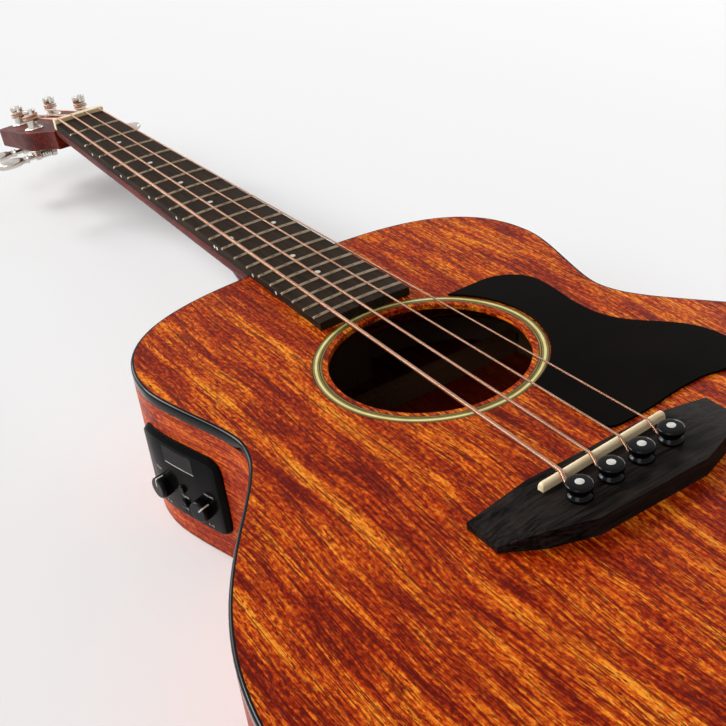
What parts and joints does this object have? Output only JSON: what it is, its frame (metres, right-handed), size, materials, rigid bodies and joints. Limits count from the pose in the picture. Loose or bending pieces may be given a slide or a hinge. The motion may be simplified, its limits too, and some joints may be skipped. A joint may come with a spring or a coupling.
{
  "type": "acoustic bass guitar",
  "caption": "Short-scale acoustic bass guitar with a bound mahogany body, soundhole, fretted neck, tilted headstock with geared tuners, pinned bridge and side preamp.",
  "frame": {"origin": "on the back's outer face, on the centre line, below the end of the nominal 597 mm scale", "axes": "+X from the headstock to the tail, +Y to the treble side, +Z out of the top"},
  "size_m": [0.9385, 0.3678, 0.1017],
  "materials": {
    "mahogany": "gloss",
    "dark_mahogany": "satin",
    "spruce": "matte",
    "ebony": "satin",
    "black_plastic": "gloss",
    "bone": "satin",
    "nickel": "polished",
    "bronze": "satin",
    "cream_ring": "gloss",
    "smoked_glass": "gloss",
    "steel": "satin"
  },
  "bodies": {
    "instrument": {"top_plate": "mahogany", "back_plate": "mahogany", "side_bass": "mahogany", "side_treble": "mahogany", "top_binding": "black_plastic", "top_lining_bass": "spruce", "top_lining_treble": "spruce", "back_lining_bass": "spruce", "back_lining_treble": "spruce", "neck_block": "spruce", "tail_block": "spruce", "x_brace": "spruce", "transverse_brace": "spruce", "bridge_plate": "spruce", "back_brace_1": "spruce", "back_brace_2": "spruce", "back_brace_3": "spruce", "rosette": "cream_ring", "pickguard": "black_plastic", "bridge": "ebony", "saddle": "bone", "saddle_pickup": "steel", "bridge_pin_E": "black_plastic", "bridge_pin_A": "black_plastic", "bridge_pin_D": "black_plastic", "bridge_pin_G": "black_plastic", "string_E": "bronze", "string_A": "bronze", "string_D": "bronze", "string_G": "bronze", "neck": "dark_mahogany", "truss_rod": "steel", "fingerboard": "ebony", "nut": "bone", "tuner_bushing_E": "nickel", "tuner_bushing_A": "nickel", "tuner_bushing_D": "nickel", "tuner_bushing_G": "nickel", "tuner_plate_E": "nickel", "tuner_plate_A": "nickel", "tuner_plate_D": "nickel", "tuner_plate_G": "nickel", "preamp_panel": "black_plastic", "display_window": "smoked_glass", "preamp_box": "black_plastic", "battery": "steel", "end_pin_jack": "nickel", "strap_button": "nickel"},
    "post_E": {"tuner_post_E": "nickel"},
    "post_A": {"tuner_post_A": "nickel"},
    "post_D": {"tuner_post_D": "nickel"},
    "post_G": {"tuner_post_G": "nickel"},
    "button_E": {"tuner_button_E": "nickel"},
    "button_A": {"tuner_button_A": "nickel"},
    "button_D": {"tuner_button_D": "nickel"},
    "button_G": {"tuner_button_G": "nickel"},
    "volume": {"volume_knob": "black_plastic"},
    "tone": {"tone_knob": "black_plastic"},
    "tuner_push": {"tuner_switch": "black_plastic"},
    "phase_push": {"phase_switch": "black_plastic"}
  },
  "joints": [
    {"name": "button_E_turn", "type": "hinge", "parent": "instrument", "child": "button_E", "pos_m": [-0.64075, -0.0216, 0.0543], "axis": [0, -1, 0], "continuous": true},
    {"name": "button_A_turn", "type": "hinge", "parent": "instrument", "child": "button_A", "pos_m": [-0.70512, -0.0148, 0.0397], "axis": [0, -1, 0], "continuous": true},
    {"name": "button_D_turn", "type": "hinge", "parent": "instrument", "child": "button_D", "pos_m": [-0.70512, 0.0148, 0.0397], "axis": [0, 1, 0], "continuous": true},
    {"name": "button_G_turn", "type": "hinge", "parent": "instrument", "child": "button_G", "pos_m": [-0.64075, 0.0216, 0.0543], "axis": [0, 1, 0], "continuous": true},
    {"name": "post_E_turn", "type": "hinge", "parent": "instrument", "child": "post_E", "pos_m": [-0.65661, -0.0216, 0.07131], "axis": [-0.2212, 0, 0.9752], "continuous": true},
    {"name": "post_A_turn", "type": "hinge", "parent": "instrument", "child": "post_A", "pos_m": [-0.72098, -0.0148, 0.05671], "axis": [-0.2212, 0, 0.9752], "continuous": true},
    {"name": "post_D_turn", "type": "hinge", "parent": "instrument", "child": "post_D", "pos_m": [-0.72098, 0.0148, 0.05671], "axis": [-0.2212, 0, 0.9752], "continuous": true},
    {"name": "post_G_turn", "type": "hinge", "parent": "instrument", "child": "post_G", "pos_m": [-0.65661, 0.0216, 0.07131], "axis": [-0.2212, 0, 0.9752], "continuous": true},
    {"name": "volume_turn", "type": "hinge", "parent": "instrument", "child": "volume", "pos_m": [-0.15653, -0.11681, 0.031], "axis": [0.2658, -0.964, 0], "range_deg": [-135, 135]},
    {"name": "tone_turn", "type": "hinge", "parent": "instrument", "child": "tone", "pos_m": [-0.18753, -0.1239, 0.031], "axis": [0.1203, -0.9927, 0], "range_deg": [-135, 135]},
    {"name": "tuner_switch_press", "type": "slide", "parent": "instrument", "child": "tuner_push", "axis": [-0.2354, 0.9719, 0], "range_m": [0, 0.001], "stiffness_N_per_m": 600},
    {"name": "phase_switch_press", "type": "slide", "parent": "instrument", "child": "phase_push", "axis": [-0.2354, 0.9719, 0], "range_m": [0, 0.001], "stiffness_N_per_m": 600}
  ],
  "couplings": [
    {"joint": "post_E_turn", "follows": "button_E_turn", "ratio": 0.055556},
    {"joint": "post_A_turn", "follows": "button_A_turn", "ratio": 0.055556},
    {"joint": "post_D_turn", "follows": "button_D_turn", "ratio": 0.055556},
    {"joint": "post_G_turn", "follows": "button_G_turn", "ratio": 0.055556}
  ]
}
